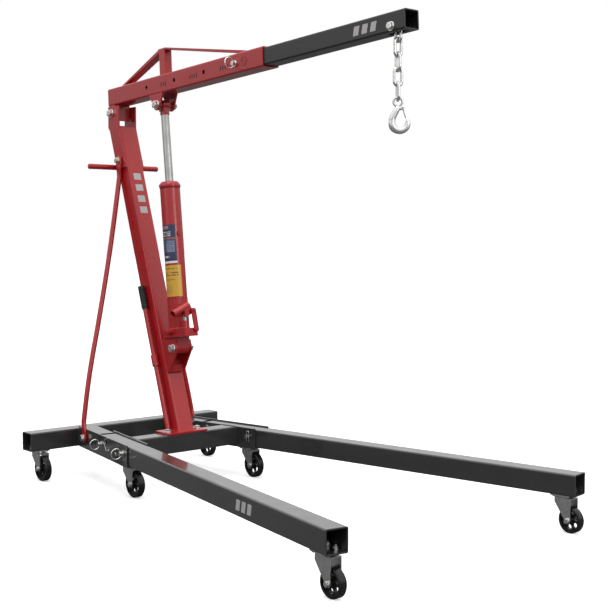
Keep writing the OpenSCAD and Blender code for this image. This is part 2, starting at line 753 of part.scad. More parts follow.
module jib() placed() color(black) boom_frame() difference() {
    inside = mouth_x - 690;
    slot = 68;
    translate([mouth_x - inside, 0, boom_wall + gap])
        tube_x(jib_out + inside, jib_w, jib_h, boom_wall);
    translate([pin_x, 0, boom_h / 2]) rod_y(leg_pin_d + bore_gap, 2 * jib_w);
    translate([tip_bolt_x, 0, tip_bolt_z]) rod_y(tip_bolt_d + bore_gap, 2 * jib_w);
    // The slot in the underside lets the chain hang and swing.
    translate([tip_bolt_x - slot / 2, -9, 0]) cube([slot, 18, 2 * boom_wall + 3]);
}

module tip_bolt() placed() color(zinc) boom_frame() translate([tip_bolt_x, 0, tip_bolt_z])
    bolt_y(tip_bolt_d, jib_w + bore_gap, 19, 26);

link_pitch = 39.8;
link_wire = 8.5;
link_inner = 12.6;
link_count = 5;
link_turn = 81.8;
link_slack = 0.4;
tip_bolt_at = [
    boom_pivot_x + tip_bolt_x * cos(boom_slope) - (boom_drop + tip_bolt_z) * sin(boom_slope),
    0,
    boom_pivot_z + tip_bolt_x * sin(boom_slope) + (boom_drop + tip_bolt_z) * cos(boom_slope)];
chain_top = -(link_pitch - link_inner) / 2;
chain_foot = chain_top - (link_count - 1) * (link_pitch - link_slack) - link_pitch / 2;
hook_eye_r = 12;
hook_eye_wire = 6;
hook_eye_z = chain_foot + link_slack - hook_eye_r + hook_eye_wire / 2;

// One chain link standing in the XZ plane.
module chain_link() {
    radius = (link_inner + link_wire) / 2;
    straight = link_pitch - link_inner;
    for (s = [-1, 1]) {
        translate([s * radius, 0, -straight / 2]) cylinder(d = link_wire, h = straight);
        translate([0, 0, s * straight / 2]) rotate([90 * s, 0, 0])
            rotate_extrude(angle = 180) translate([radius, 0]) circle(d = link_wire, $fn = 32);
    }
}

// Every link hangs in the one above it, turned almost a right angle.
module chain() placed() color(zinc) translate(tip_bolt_at) for (i = [0:link_count - 1])
    translate([0, 0, chain_top - i * (link_pitch - link_slack)])
        rotate([0, 0, link_turn * i]) chain_link();

// The hook's own frame: the eye's middle is at zero, and the throat is on the +x side.
module hook_frame() placed() translate(tip_bolt_at) translate([0, 0, hook_eye_z])
    rotate([0, 0, link_turn * link_count - 360]) children();

bowl_x = 6;
bowl_z = -56;
bowl_r = 22;
bowl_wire = 18.4;
latch_x = 13;
latch_z = -18;
latch_pin_d = 4;

module hook() color(zinc) hook_frame() difference() {
    back = 168;
    tip = -30;
    union() {
        rotate([90, 0, 0]) ring(hook_eye_r, hook_eye_wire);
        hull() {
            translate([3, 0, -16]) sphere(7, $fn = 24);
            translate([-11, 0, -36]) sphere(8.2, $fn = 24);
        }
        hull() {
            translate([-11, 0, -36]) sphere(8.2, $fn = 24);
            bowl_point(back) sphere(d = bowl_wire - 0.2, $fn = 24);
        }
        hull() {
            translate([4, 0, -18]) rod_y(8, 7);
            translate([latch_x, 0, latch_z]) rod_y(9, 7);
        }
        hull() {
            bowl_point(tip) sphere(d = bowl_wire - 0.2, $fn = 24);
            translate([bowl_x + bowl_r, 0, bowl_z]) sphere(7, $fn = 24);
        }
        hull() {
            translate([bowl_x + bowl_r, 0, bowl_z]) sphere(7, $fn = 24);
            translate([bowl_x + bowl_r - 0.5, 0, bowl_z + 9]) sphere(4.5, $fn = 24);
        }
        translate([bowl_x, 0, bowl_z]) rotate([90, 0, 0])
            rotate_extrude(angle = 180 - back + 180 + tip, start = back)
                translate([bowl_r, 0]) circle(d = bowl_wire);
    }
    translate([latch_x, 0, latch_z]) rod_y(latch_pin_d + bore_gap, 40);
}

// A point on the middle line of the hook's bowl.
module bowl_point(angle)
    translate([bowl_x + bowl_r * cos(angle), 0, bowl_z + bowl_r * sin(angle)]) children();

// The spring latch: two wire legs from the hook's neck to the inside of its tip.
module latch() color(zinc) hook_frame() translate([latch_x, 0, latch_z]) {
    reach = 26;
    leg_y = 5.2;
    wire = 2.4;
    rod_y(latch_pin_d, 2 * leg_y + 1);
    rotate([0, -17, 0]) {
        for (s = [-1, 1]) translate([0, s * leg_y, -reach]) cylinder(d = wire, h = reach);
        translate([0, 0, -reach]) rod_y(wire * 0.8, 2 * leg_y);
    }
    for (s = [-1, 1]) translate([0, s * leg_y, 0]) rod_y(7, wire * 1.3);
}

// --- Ram ------------------------------------------------------------------------

flange_top = 66;
flange_t = 28;
flute_top = 172;
collar_z = ram_len - 34;
pump_x = 69;
pump_y = -22;
lever_y = 2;
lever_z = 124;
lever_pin_d = 6;
valve_x = 2;
valve_z = 55;
flange_pin_z = 60;

// The barrel: a fluted lower body, a plain tube, a stepped gland and a side plug.
module ram_barrel() placed() color(red) ram_frame() {
    plug_z = 392;
    bore_d = 48;
    ribs = 16;
    difference() {
        union() {
            translate([0, 0, flange_top]) linear_extrude(flute_top - flange_top) {
                rotate(180) circle(barrel_d / 2 - 1.5);
                for (i = [0:ribs - 1]) rotate(360 / ribs * (i + 0.5))
                    translate([barrel_d / 2 - 1.5, 0]) circle(2.4, $fn = 24);
            }
            rotate(180) translate([0, 0, flute_top])
                cylinder(d = barrel_d, h = barrel_top - flute_top - 8);
            rotate(180) translate([0, 0, barrel_top - 8])
                cylinder(d1 = barrel_d, d2 = barrel_d - 12, h = 8);
            translate([barrel_d / 2 - 4, 0, plug_z]) rotate([0, 90, 0]) cylinder(d = 15, h = 9);
        }
        translate([0, 0, flange_top + 9])
            cylinder(d = bore_d, h = barrel_top - flange_top - 29);
        translate([0, 0, 100]) cylinder(d = rod_d + bore_gap, h = barrel_top);
    }
}

// The pump block: the ram's foot lug, its flange and the pump cylinder.
module pump_block() placed() color(red) ram_frame() difference() {
    lug_w = 50;
    union() {
        rod_y(40, lug_w);
        translate([-20, -lug_w / 2, 0]) cube([40, lug_w, flange_top - flange_t + 1]);
        translate([0, 0, flange_top - flange_t]) linear_extrude(flange_t - seat_gap)
            polygon([[-50, -34], [-46, -38], [40, -38], [pump_x + 16, -36], [pump_x + 16, 16],
                [40, 38], [-46, 38], [-50, 34]]);
        translate([pump_x, pump_y, flange_top - 1]) cylinder(d = 23, h = 27);
        translate([valve_x, -37, valve_z]) rod_y(22, 8);
    }
    rod_y(main_bolt_d + bore_gap, 2 * lug_w);
    translate([pump_x, pump_y, flange_top - 6]) cylinder(d = 14 + bore_gap, h = 60);
    translate([valve_x, -60, valve_z]) rod_y(8 + bore_gap, 40, false);
    translate([pump_x - 4, 9, flange_pin_z]) rotate([0, 90, 0])
        cylinder(d = lever_pin_d + bore_gap, h = 40);
}

// The release valve's knob turns on its stem in the flange's near edge.
module release_valve() placed() color(red) ram_frame() translate([valve_x, -41.3, valve_z]) {
    rod_y(8, 20, false);
    translate([0, -18, 0]) rod_y(16, 18, false);
    for (i = [0:11]) rotate([0, 30 * i, 0]) translate([8, -16, 0]) rod_y(2.2, 12, false);
    translate([-1.5, -24, -6]) cube([3, 7, 12]);
}

// The plunger stands in the pump cylinder, and the lever's roller presses on its top.
module plunger() placed() color(steel) ram_frame() translate([pump_x, pump_y, 0]) {
    translate([0, 0, 76]) cylinder(d = 14, h = 26);
    translate([0, 0, 102]) cylinder(d1 = 14, d2 = 12, h = 2.6);
}

// A strap and its two pins tie the lever's pivot to the front end of the flange.
module pump_link() placed() color(red) ram_frame() {
    strap = 5;
    foot = [9, flange_pin_z];
    top = [lever_y, lever_z];
    translate([pump_x + 17, 0, 0]) rotate([90, 0, 90]) linear_extrude(strap) {
        for (p = [foot, top]) translate(p) circle(9);
        polygon([[foot[0] - 8, foot[1] - 1], [foot[0] + 9, foot[1] + 1],
            [top[0] + 9, top[1] + 1], [top[0] - 9, top[1] - 1]]);
    }
    translate([pump_x - 2, foot[0], foot[1]]) rotate([0, 90, 0])
        cylinder(d = lever_pin_d, h = 20);
    translate([pump_x - 14, top[0], top[1]]) rotate([0, 90, 0])
        cylinder(d = lever_pin_d, h = 32);
    for (p = [foot, top]) translate([pump_x + 22, p[0], p[1]]) rotate([0, 90, 0]) hex_z(10, 4);
}

// The lever: two cheeks on the pivot, a roller between them and the handle's socket.
module pump_lever() placed() color(red) ram_frame() difference() {
    dip = 23.4;
    socket_d = 27;
    socket_len = 70;
    socket_end = [pump_x, -5, 143];
    cheek_at = 11;
    cheek = 4;
    union() {
        for (s = [-1, 1]) translate([pump_x + s * cheek_at, 0, 0])
            rotate([90, 0, 90]) linear_extrude(cheek, center = true) {
                translate([lever_y, lever_z]) circle(9);
                translate([pump_y, 110]) circle(6.5);
                polygon([[lever_y + 8.8, lever_z], [lever_y - 1, lever_z - 9], [pump_y, 103.6],
                    [pump_y - 6.4, 110], [-30, 128], [-9, 141]]);
            }
        translate([pump_x, pump_y, 110]) rotate([0, 90, 0]) cylinder(d = 10, h = 22, center = true);
        translate(socket_end) rotate([90 + dip, 0, 0]) cylinder(d = socket_d, h = socket_len);
    }
    translate([pump_x - 24, lever_y, lever_z]) rotate([0, 90, 0])
        cylinder(d = lever_pin_d + bore_gap, h = 60);
    translate(socket_end) rotate([90 + dip, 0, 0])
        translate([0, 0, 6]) cylinder(d = handle_d + 3, h = 90);
}

// The rod with its piston head.
module piston_rod() placed() color(steel) ram_frame() {
    foot = 222;
    translate([0, 0, foot]) cylinder(d = 47.6, h = 20);
    translate([0, 0, foot + 19]) cylinder(d = rod_d, h = collar_z - foot - 17);
}

// The collar and the eye at the rod's top end.
module rod_eye() placed() color(red) ram_frame() difference() {
    union() {
        translate([0, 0, collar_z]) cylinder(d = 32, h = 17);
        translate([-14, -eye_w / 2, collar_z + 12]) cube([28, eye_w, 22]);
        translate([0, 0, ram_len]) rod_y(35, eye_w);
    }
    translate([0, 0, ram_len]) rod_y(main_bolt_d + bore_gap, 2 * eye_w);
    translate([0, 0, collar_z - 1]) cylinder(d = rod_d, h = 3);
}

// The middle of the ram's upper bolt, between the clevis plates, belongs to the rod.
module eye_pin() placed() color(zinc) ram_frame() translate([0, 0, ram_len])
    rod_y(main_bolt_d, clevis_gap - 0.6);

rear_crossbar();
channel(-1);  // channel_near
channel(1);  // channel_far
cross_member();
base_caster_plates();
base_caster_bolts();
fold_pins();
lock_pins();
pin_rings();
spring_clips();
mast();
foot_bolts();
mast_head();
ram_bracket();
push_handle();
stays();
stay_bolts();
main_bolts();
pump_handle();
pump_grip();
leg(-1);  // leg_near
leg(1);  // leg_far
leg_caster_mount(-1);  // leg_near_caster_mount
leg_caster_mount(1);  // leg_far_caster_mount
rear_fork(-1);  // rear_near_fork
rear_fork(1);  // rear_far_fork
middle_fork(-1);  // middle_near_fork
middle_fork(1);  // middle_far_fork
front_fork(-1);  // front_near_fork
front_fork(1);  // front_far_fork
rear_wheel(-1);  // rear_near_wheel
rear_wheel(1);  // rear_far_wheel
middle_wheel(-1);  // middle_near_wheel
middle_wheel(1);  // middle_far_wheel
front_wheel(-1);  // front_near_wheel
front_wheel(1);  // front_far_wheel
rear_axle(-1);  // rear_near_axle
rear_axle(1);  // rear_far_axle
middle_axle(-1);  // middle_near_axle
middle_axle(1);  // middle_far_axle
front_axle(-1);  // front_near_axle
front_axle(1);  // front_far_axle
boom();
truss();
clevis_bolt();
jib_pin();
jib();
tip_bolt();
chain();
hook();
latch();
ram_barrel();
pump_block();
release_valve();
plunger();
pump_link();
pump_lever();
piston_rod();
rod_eye();
eye_pin();
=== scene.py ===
import json
import math

import bmesh
import bpy
from mathutils import Matrix, Vector


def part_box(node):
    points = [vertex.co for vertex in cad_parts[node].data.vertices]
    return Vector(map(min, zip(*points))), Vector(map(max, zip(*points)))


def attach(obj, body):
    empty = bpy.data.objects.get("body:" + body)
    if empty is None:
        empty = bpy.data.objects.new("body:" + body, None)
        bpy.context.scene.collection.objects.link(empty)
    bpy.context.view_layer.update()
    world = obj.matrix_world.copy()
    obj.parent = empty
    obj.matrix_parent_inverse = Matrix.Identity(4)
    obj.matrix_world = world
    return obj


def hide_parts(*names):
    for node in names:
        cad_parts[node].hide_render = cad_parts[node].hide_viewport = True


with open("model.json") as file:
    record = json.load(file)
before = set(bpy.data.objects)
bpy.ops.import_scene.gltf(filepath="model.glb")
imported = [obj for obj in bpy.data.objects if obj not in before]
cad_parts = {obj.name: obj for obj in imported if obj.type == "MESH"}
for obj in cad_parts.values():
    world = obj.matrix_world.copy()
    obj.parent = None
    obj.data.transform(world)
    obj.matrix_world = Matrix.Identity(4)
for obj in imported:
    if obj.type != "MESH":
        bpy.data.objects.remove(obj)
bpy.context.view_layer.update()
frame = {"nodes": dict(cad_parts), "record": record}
scene = bpy.context.scene
JOINTS = {j["name"]: j for j in frame["record"]["behaviour"]["joints"]}


# --- Frames of reference, taken from the CAD model's joints --------------------------

class Place:
    """A point and three axes; at(x, y, z) takes millimetres in that frame."""

    def __init__(self, origin, x, y, z):
        self.origin = Vector(origin)
        self.axes = [Vector(v).normalized() for v in (x, y, z)]

    def at(self, x, y, z):
        a = self.axes
        return self.origin + (a[0] * x + a[1] * y + a[2] * z) / 1000

    def matrix(self, x=0, y=0, z=0):
        m = Matrix([list(v) for v in self.axes]).transposed().to_4x4()
        m.translation = self.at(x, y, z)
        return m


Y = Vector((0, 1, 0))
ram_up = Vector(JOINTS["rod_extend"]["axis"])
RAM = Place(JOINTS["ram_swing"]["pos_m"], Y.cross(ram_up), Y, ram_up)
boom_out = Vector(JOINTS["jib_extend"]["axis"])
BOOM = Place(JOINTS["boom_lift"]["pos_m"], boom_out, Y, boom_out.cross(Y))
mast_up = Vector(JOINTS["handle_lift_out"]["axis"])
low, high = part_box("mast")
foot_top = low.z + 0.006
MAST = Place((high.x - 0.013, 0, foot_top), Y.cross(mast_up), Y, mast_up)
LEGS = {}
for side, name in ((-1, "near"), (1, "far")):
    joint = JOINTS[name + "_leg_fold"]
    out = -Vector(joint["axis"]) if side > 0 else Vector(joint["axis"])
    LEGS[side] = Place(joint["pos_m"], Vector((abs(out.y), side * abs(out.x), 0)), out, (0, 0, 1))


# --- Materials ---------------------------------------------------------------------

class Nodes:
    """Small helper that makes and links shader nodes."""

    def __init__(self, name):
        self.mat = bpy.data.materials.new(name)
        self.mat.use_nodes = True
        self.tree = self.mat.node_tree
        self.bsdf = self.tree.nodes["Principled BSDF"]
        self.coords = self.tree.nodes.new("ShaderNodeTexCoord").outputs["Object"]

    def new(self, kind, **values):
        node = self.tree.nodes.new("ShaderNode" + kind)
        for key, value in values.items():
            if hasattr(node, key):
                setattr(node, key, value)
            else:
                self.put(value, node.inputs[key.replace("_", " ")])
        return node

    def put(self, value, socket):
        if isinstance(value, bpy.types.NodeSocket):
            self.tree.links.new(value, socket)
        else:
            socket.default_value = value

    def noise(self, scale, detail=3.0, rough=0.5, vector=None):
        node = self.new("TexNoise")
        self.put(vector or self.coords, node.inputs["Vector"])
        node.inputs["Scale"].default_value = scale
        node.inputs["Detail"].default_value = detail
        node.inputs["Roughness"].default_value = rough
        return node.outputs["Fac"]

    def ramp(self, value, low, high, out_low=0.0, out_high=1.0):
        node = self.new("MapRange")
        for socket, v in zip(node.inputs[:5], (value, low, high, out_low, out_high)):
            self.put(v, socket)
        return node.outputs["Result"]

    def math(self, kind, a, b=0.0):
        node = self.new("Math")
        node.operation = kind
        self.put(a, node.inputs[0])
        self.put(b, node.inputs[1])
        return node.outputs[0]

    def mix(self, factor, a, b):
        node = self.new("Mix")
        node.data_type = "RGBA"
        self.put(factor, node.inputs[0])
        self.put(a if not isinstance(a, tuple) else (*a, 1), node.inputs[6])
        self.put(b if not isinstance(b, tuple) else (*b, 1), node.inputs[7])
        return node.outputs[2]

    def bump(self, height, strength, distance=0.001, normal=None):
        node = self.new("Bump")
        node.inputs["Strength"].default_value = strength
        node.inputs["Distance"].default_value = distance
        self.put(height, node.inputs["Height"])
        if normal is not None:
            self.put(normal, node.inputs["Normal"])
        return node.outputs["Normal"]

    def bevel(self, radius):
        node = self.new("Bevel")
        node.samples = 4
        node.inputs["Radius"].default_value = radius
        return node.outputs["Normal"]

    def edges(self, rounded):
        """1 on an edge's rounding and 0 on a flat face."""
        geometry = self.new("NewGeometry")
        dot = self.new("VectorMath")
        dot.operation = "DOT_PRODUCT"
        self.put(rounded, dot.inputs[0])
        self.put(geometry.outputs["Normal"], dot.inputs[1])
        return self.ramp(dot.outputs["Value"], 0.995, 0.86)

    def set(self, **values):
        names = {"color": "Base Color", "rough": "Roughness", "metal": "Metallic",
                 "coat": "Coat Weight", "coat_rough": "Coat Roughness", "normal": "Normal",
                 "specular": "Specular IOR Level"}
        for key, value in values.items():
            if isinstance(value, tuple):
                value = (*value, 1)
            self.put(value, self.bsdf.inputs[names[key]])
        return self.mat


def paint(name, base, pale, rough=0.34, coat=0.5, coat_rough=0.12, peel=0.10, radius=0.0016):
    """Powder coat: orange peel, faint cloudiness, dust, and thinner paint along edges."""
    n = Nodes(name)
    rounded = n.bevel(radius)
    edge = n.edges(rounded)
    cloud = n.ramp(n.noise(7, 4), 0.3, 0.7)
    color = n.mix(n.math("MULTIPLY", cloud, 0.35), base, pale)
    worn = n.math("MULTIPLY", edge, n.ramp(n.noise(60, 5, 0.65), 0.42, 0.62))
    color = n.mix(n.math("MULTIPLY", worn, 0.55), color, tuple(min(1, c * 2.2 + 0.02) for c in base))
    speck = n.ramp(n.noise(420, 2), 0.66, 0.72)
    color = n.mix(n.math("MULTIPLY", speck, 0.10), color, (0.5, 0.48, 0.46))
    smudge = n.ramp(n.noise(16, 6, 0.6), 0.25, 0.75, rough - 0.06, rough + 0.09)
    normal = n.bump(n.noise(650, 2), peel, 0.0006, rounded)
    normal = n.bump(n.noise(90, 2), peel * 0.5, 0.0008, normal)
    return n.set(color=color, rough=smudge, coat=coat, coat_rough=coat_rough, normal=normal)


def metal(name, base, rough=0.27, blotch=0.5, grain=120, radius=0.0007, warm=(0.74, 0.70, 0.60)):
    """Zinc plate or bare steel: blotchy roughness, a faint warm cast, and small dents."""
    n = Nodes(name)
    rounded = n.bevel(radius)
    cast = n.ramp(n.noise(35, 4), 0.42, 0.72, 0, 0.45 * blotch)
    color = n.mix(cast, base, warm)
    grime = n.ramp(n.noise(150, 5, 0.7), 0.58, 0.80, 0, 0.5 * blotch)
    color = n.mix(grime, color, tuple(c * 0.45 for c in base))
    roughness = n.ramp(n.noise(grain, 5, 0.6), 0.3, 0.7, rough - 0.08, rough + 0.14)
    normal = n.bump(n.noise(grain * 5, 2), 0.10, 0.0004, rounded)
    return n.set(color=color, rough=roughness, metal=1.0, normal=normal)


def brushed(name, base, rough, axis):
    """Ground or drawn steel with fine lines square to the given axis."""
    n = Nodes(name)
    stretch = n.new("VectorMath")
    stretch.operation = "DOT_PRODUCT"
    n.put(n.coords, stretch.inputs[0])
    stretch.inputs[1].default_value = axis
    lines = n.new("TexNoise", noise_dimensions="1D")
    n.put(stretch.outputs["Value"], lines.inputs["W"])
    lines.inputs["Scale"].default_value = 1800
    lines.inputs["Detail"].default_value = 4
    film = n.ramp(n.noise(22, 4), 0.35, 0.7)
    color = n.mix(film, base, tuple(c * 0.8 for c in base))
    roughness = n.ramp(lines.outputs["Fac"], 0.3, 0.7, rough - 0.06, rough + 0.10)
    normal = n.bump(lines.outputs["Fac"], 0.12, 0.0003)
    return n.set(color=color, rough=roughness, metal=1.0, normal=normal)


def moulded(name, base, rough=0.42, grain=900, radius=0.001):
    """Moulded plastic or rubber with a fine texture and scuffed edges."""
    n = Nodes(name)
    rounded = n.bevel(radius)
    scuff = n.math("MULTIPLY", n.edges(rounded), n.ramp(n.noise(140, 5), 0.4, 0.62))
    dust = n.ramp(n.noise(28, 5, 0.6), 0.5, 0.85, 0, 0.35)
    color = n.mix(scuff, base, (0.11, 0.11, 0.11))
    color = n.mix(n.math("MULTIPLY", dust, 0.12), color, (0.16, 0.15, 0.14))
    roughness = n.ramp(n.noise(70, 4), 0.3, 0.7, rough - 0.07, rough + 0.12)
    normal = n.bump(n.noise(grain, 2), 0.12, 0.0004, rounded)
    return n.set(color=color, rough=roughness, normal=normal)


RED = paint("red_powder_coat", (0.42, 0.005, 0.009), (0.46, 0.009, 0.014), rough=0.30, coat=0.45)
GREY = paint("dark_grey_paint", (0.024, 0.024, 0.025), (0.031, 0.031, 0.032), coat=1.0, coat_rough=0.08,
             peel=0.05)
BLACK = paint("black_paint", (0.016, 0.016, 0.017), (0.023, 0.023, 0.024), rough=0.36, coat=0.25)
ZINC = metal("zinc_plate", (0.78, 0.78, 0.77))
PRESSED = metal("zinc_pressing", (0.60, 0.61, 0.60), rough=0.30, blotch=0.18, grain=70,
                warm=(0.52, 0.54, 0.50))
STEEL = brushed("ground_rod", (0.56, 0.56, 0.55), 0.36, tuple(ram_up))
NYLON = moulded("wheel_nylon", (0.006, 0.006, 0.006), 0.24)
RUBBER = moulded("grip_rubber", (0.010, 0.010, 0.010), 0.6, 500)

BY_SLOT = {"red_paint": RED, "dark_paint": GREY, "black_paint": BLACK, "zinc": ZINC,
           "rod_steel": STEEL, "grip_rubber": RUBBER, "wheel_nylon": NYLON}
for part in frame["record"]["subparts"]:
    mesh = frame["nodes"][part["node"]].data
    mesh.materials.clear()
    pressed = part["node"].endswith(("_fork", "_plates", "_mount"))
    mesh.materials.append(PRESSED if pressed else BY_SLOT[part["material_slot"]])


# --- Mesh building --------------------------------------------------------------------

low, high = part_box("rear_crossbar")
BASE = Place(((low.x + high.x) / 2, 0, 0), (1, 0, 0), Y, (0, 0, 1))


def facing(point, direction, turn=0):
    """A matrix at a point whose +z is the direction."""
    m = Vector(direction).to_track_quat("Z", "Y").to_matrix().to_4x4()
    m.translation = point
    return m @ Matrix.Rotation(math.radians(turn), 4, "Z")


class Shape:
    """Collects faces. Local lengths are millimetres and a matrix puts them in place."""

    def __init__(self):
        self.verts, self.faces = [], []

    def add(self, verts, faces, matrix):
        start = len(self.verts)
        self.verts += [matrix @ (Vector(v) / 1000) for v in verts]
        self.faces += [[i + start for i in face] for face in faces]

    def rings(self, rings, matrix, close=False, caps=True):
        """Joins rings of equal length into a skin."""
        count = len(rings[0])
        verts = [v for ring in rings for v in ring]
        faces = []
        for k in range(len(rings) if close else len(rings) - 1):
            nxt = (k + 1) % len(rings)
            for i in range(count):
                j = (i + 1) % count
                faces.append([k * count + i, k * count + j, nxt * count + j, nxt * count + i])
        if caps and not close:
            faces.append(list(range(count))[::-1])
            faces.append([(len(rings) - 1) * count + i for i in range(count)])
        self.add(verts, faces, matrix)

    def lathe(self, matrix, profile, count=40, caps=True):
        """Turns (radius, height) points about z."""
        self.rings([[(r * math.cos(2 * math.pi * i / count), r * math.sin(2 * math.pi * i / count), z)
                     for i in range(count)] for r, z in profile], matrix, caps=caps)

    def hexagon(self, matrix, flats, height, start=0.0, count=60):
        """A hexagon head with the turned chamfer that gives each side its arc."""
        def ring(limit, z_of):
            out = []
            for i in range(count):
                a = 2 * math.pi * i / count
                r = flats / 2 / math.cos((a + math.pi / 6) % (math.pi / 3) - math.pi / 6)
                r = min(r, limit) if limit else r
                out.append((r * math.cos(a), r * math.sin(a), z_of(r)))
            return out
        face_r = flats / 2 * 0.96
        drop = math.tan(math.radians(28))
        self.rings([ring(flats / 2 * 1.06, lambda r: start),
                    ring(None, lambda r: start + min(0.6, height / 6)),
                    ring(None, lambda r: start + height - max(0, r - face_r) * drop),
                    ring(face_r, lambda r: start + height),
                    ring(face_r * 0.5, lambda r: start + height - 0.25)], matrix)

    def washer(self, matrix, outer, thick, start=0.0):
        edge = min(0.5, thick / 3)
        self.lathe(matrix, [(outer - edge, start), (outer, start + edge),
                            (outer, start + thick - edge), (outer - edge, start + thick)])

    def thread(self, matrix, radius, start, length, pitch=1.6):
        """A threaded tail as close grooves, with a chamfered tip."""
        profile, z = [(radius * 0.9, start)], start
        while z < start + length - pitch:
            profile += [(radius * 0.9, z + 0.1 * pitch), (radius, z + pitch * 0.5)]
            z += pitch
        profile += [(radius * 0.9, z + 0.2), (radius * 0.78, start + length)]
        self.lathe(matrix, profile, 28)

    def sweep(self, points, radii, count=12, close=False, squash=None):
        """A tube along world points (metres) with radii in millimetres."""
        pts = [Vector(p) for p in points]
        rings, normal = [], None
        for k, p in enumerate(pts):
            ahead = pts[(k + 1) % len(pts)] if close or k + 1 < len(pts) else p
            behind = pts[k - 1] if close or k else p
            tangent = (ahead - behind).normalized()
            if normal is None:
                seed = Vector((0, 0, 1)) if abs(tangent.z) < 0.9 else Vector((1, 0, 0))
                normal = tangent.cross(seed).normalized()
            normal = (normal - tangent * normal.dot(tangent)).normalized()
            side = tangent.cross(normal)
            r = radii[k] if isinstance(radii, (list, tuple)) else radii
            flat = squash[k] if squash else 1.0
            rings.append([1000 * (p + (normal * math.cos(a) * r + side * math.sin(a) * r * flat) / 1000)
                          for a in (2 * math.pi * i / count for i in range(count))])
        self.rings(rings, Matrix.Identity(4), close=close)

    def weld(self, points, radius=2.4, step=2.2):
        """A weld bead with its ripples, along world points."""
        pts = [Vector(p) for p in points]
        line, sizes = [], []
        for a, b in zip(pts, pts[1:]):
            steps = max(2, int((b - a).length * 1000 / step))
            for i in range(steps):
                line.append(a.lerp(b, i / steps))
        line.append(pts[-1])
        for i in range(len(line)):
            taper = min(1, (i + 0.6) / 2, (len(line) - i - 0.4) / 2)
            sizes.append(radius * taper * (0.86 + 0.14 * math.sin(i * 2.1) + 0.07 * math.sin(i * 0.37)))
        self.sweep(line, sizes, 8)

    def build(self, name, material, body, smooth=35, replaces=()):
        mesh = bpy.data.meshes.new(name)
        mesh.from_pydata(self.verts, [], self.faces)
        bm = bmesh.new()
        bm.from_mesh(mesh)
        bmesh.ops.recalc_face_normals(bm, faces=bm.faces)
        bm.to_mesh(mesh)
        bm.free()
        mesh.shade_smooth()
        mesh.set_sharp_from_angle(angle=math.radians(smooth))
        mesh.materials.append(material)
        obj = bpy.data.objects.new(name, mesh)
        scene.collection.objects.link(obj)
        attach(obj, body)
        if replaces:
            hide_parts(*replaces)
        return obj


# --- Bolts ----------------------------------------------------------------------------

def through_bolt(shape, centre, axis, grip, radius, flats, washer_r, tail=3.0):
    """A bolt with its head at the -axis end, both washers, a lock nut and a threaded tail."""
    head, nut = radius * 1.3, radius * 1.6
    for sign in (-1, 1):
        m = facing(centre, Vector(axis) * sign)
        shape.washer(m, washer_r, 2, grip / 2)
        if sign < 0:
            shape.hexagon(m @ Matrix.Rotation(0.4, 4, "Z"), flats, head, grip / 2 + 2)
        else:
            shape.hexagon(m @ Matrix.Rotation(0.15, 4, "Z"), flats, nut * 0.8, grip / 2 + 2)
            shape.lathe(m, [(flats * 0.42, grip / 2 + 2 + nut * 0.75),
                            (flats * 0.42, grip / 2 + 2 + nut * 0.93), (flats * 0.36, grip / 2 + 2 + nut)])
            shape.thread(m, radius, grip / 2 + 2 + nut * 0.9, nut * 0.1 + tail)


def shank(shape, centre, axis, length, radius):
    m = facing(centre, axis)
    shape.lathe(m, [(radius, -length / 2), (radius, length / 2)], 28)


pin_low, pin_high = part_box("eye_pin")
clevis_at = (pin_low + pin_high) / 2
bolts = Shape()
for joint, grip in (("boom_lift", 74.1), ("ram_swing", 64.1)):
    at = Vector(JOINTS[joint]["pos_m"])
    shank(bolts, at, Y, grip + 4, 8)
    through_bolt(bolts, at, Y, grip, 8, 24, 15)
bolts.build("pivot_bolt_set", ZINC, "base", replaces=("main_bolts",))

bolts = Shape()
through_bolt(bolts, clevis_at, Y, 63.1, 8, 24, 15)
for sign in (-1, 1):
    shank(bolts, clevis_at + Y * sign * 0.0285, Y, 6, 8)
bolts.build("ram_top_bolt", ZINC, "boom", replaces=("clevis_bolt",))

bolts = Shape()
tip_at = Vector(JOINTS["chain_hang"]["pos_m"])
shank(bolts, tip_at, Y, 59, 6)
through_bolt(bolts, tip_at, Y, 55.1, 6, 19, 13)
bolts.build("jib_tip_bolt", ZINC, "jib", replaces=("tip_bolt",))

bolts = Shape()
low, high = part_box("stay_bolts")
stay_top = Vector((low.x + 0.012, 0, high.z - 0.012))
stay_lift = (low.z + 0.012 - LEGS[1].origin.z) * 1000
STAY_REACH, STAY_OUT, STAY_TOP_Y = -155, 36.7, 37.2
STAY_R, TAB_HALF_W, TAB_HALF_T = 8.8, 16.6, 3.9
for sign in (-1, 1):
    leg = LEGS[sign]
    for at, axis, grip in ((stay_top + Y * sign * (STAY_TOP_Y - 5.1) / 1000, Y * sign, 13.2),
                           (leg.at(STAY_REACH, STAY_OUT - 10.2, stay_lift), leg.axes[1], 18.3)):
        m = facing(at, axis)
        bolts.lathe(m, [(6, 0), (6, grip + 1)], 28)
        bolts.washer(m, 12, 2, grip)
        bolts.hexagon(m @ Matrix.Rotation(0.3, 4, "Z"), 19, 8, grip + 2)
bolts.build("stay_bolt_set", ZINC, "base", replaces=("stay_bolts",))

bolts = Shape()
low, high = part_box("foot_bolts")
for sign in (-1, 1):
    m = facing(((low.x + high.x) / 2, sign * (high.y - 0.012), foot_top), (0, 0, 1), 17)
    bolts.lathe(m, [(6, -18), (6, 1)], 24)
    bolts.washer(m, 12, 2.5)
    bolts.hexagon(m, 19, 6.5, 2.5)
    bolts.thread(m, 5.6, 8.5, 2)
bolts.build("foot_bolt_set", ZINC, "base", replaces=("foot_bolts",))

